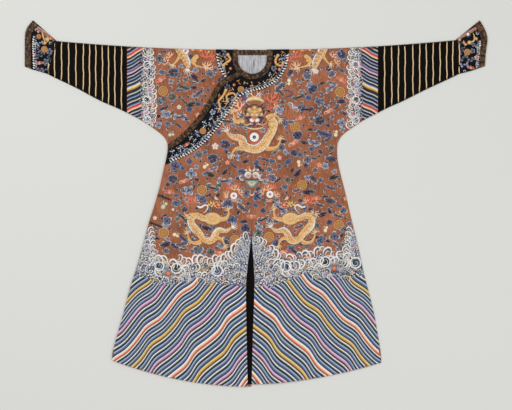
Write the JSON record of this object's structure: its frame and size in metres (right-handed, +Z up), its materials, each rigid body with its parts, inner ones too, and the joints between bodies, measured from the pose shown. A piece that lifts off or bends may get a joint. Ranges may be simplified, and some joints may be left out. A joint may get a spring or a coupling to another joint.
{
  "type": "chinese dragon robe",
  "caption": "Full-length side-closing dragon robe laid flat, with ribbed dark sleeve extensions, flared horse-hoof cuffs, shaped collar band and a striped, vented hem.",
  "frame": {"origin": "centre of the bounding box's base, on the surface that the robe lies on", "axes": "+X to the wearer's left along the spread sleeves, +Y to the neck, +Z up out of the front"},
  "size_m": [1.9202, 1.52, 0.0166],
  "materials": {
    "brown_silk": "red-brown silk, closely embroidered in coloured silks and couched gold thread",
    "black_silk": "black ribbed silk crossed by couched gold lines",
    "navy_satin": "navy satin embroidered with dragons and clouds",
    "brocade": "brown and gold brocade ribbon",
    "pale_lining": "pale grey-blue silk lining, softly creased",
    "black_cord": "black silk cord",
    "gilt_brass": "gilt ball buttons, softly worn"
  },
  "bodies": {
    "root": {"back_left": "brown_silk", "back_right": "brown_silk", "front_left": "brown_silk", "under_front": "brown_silk", "overlap": "brown_silk", "sleeve_left": "black_silk", "sleeve_right": "black_silk", "cuff_left": "navy_satin", "cuff_right": "navy_satin", "cuff_edge_left": "brocade", "cuff_edge_right": "brocade", "collar_band": "navy_satin", "collar_band_right": "navy_satin", "collar_binding": "brocade", "collar_binding_right": "brocade", "collar_binding_back": "brocade", "neck_lining": "pale_lining", "vent_underlay": "black_silk", "loop_waist": "black_cord", "loop_hip": "black_cord", "button_waist": "gilt_brass", "button_hip": "gilt_brass"}
  },
  "joints": []
}
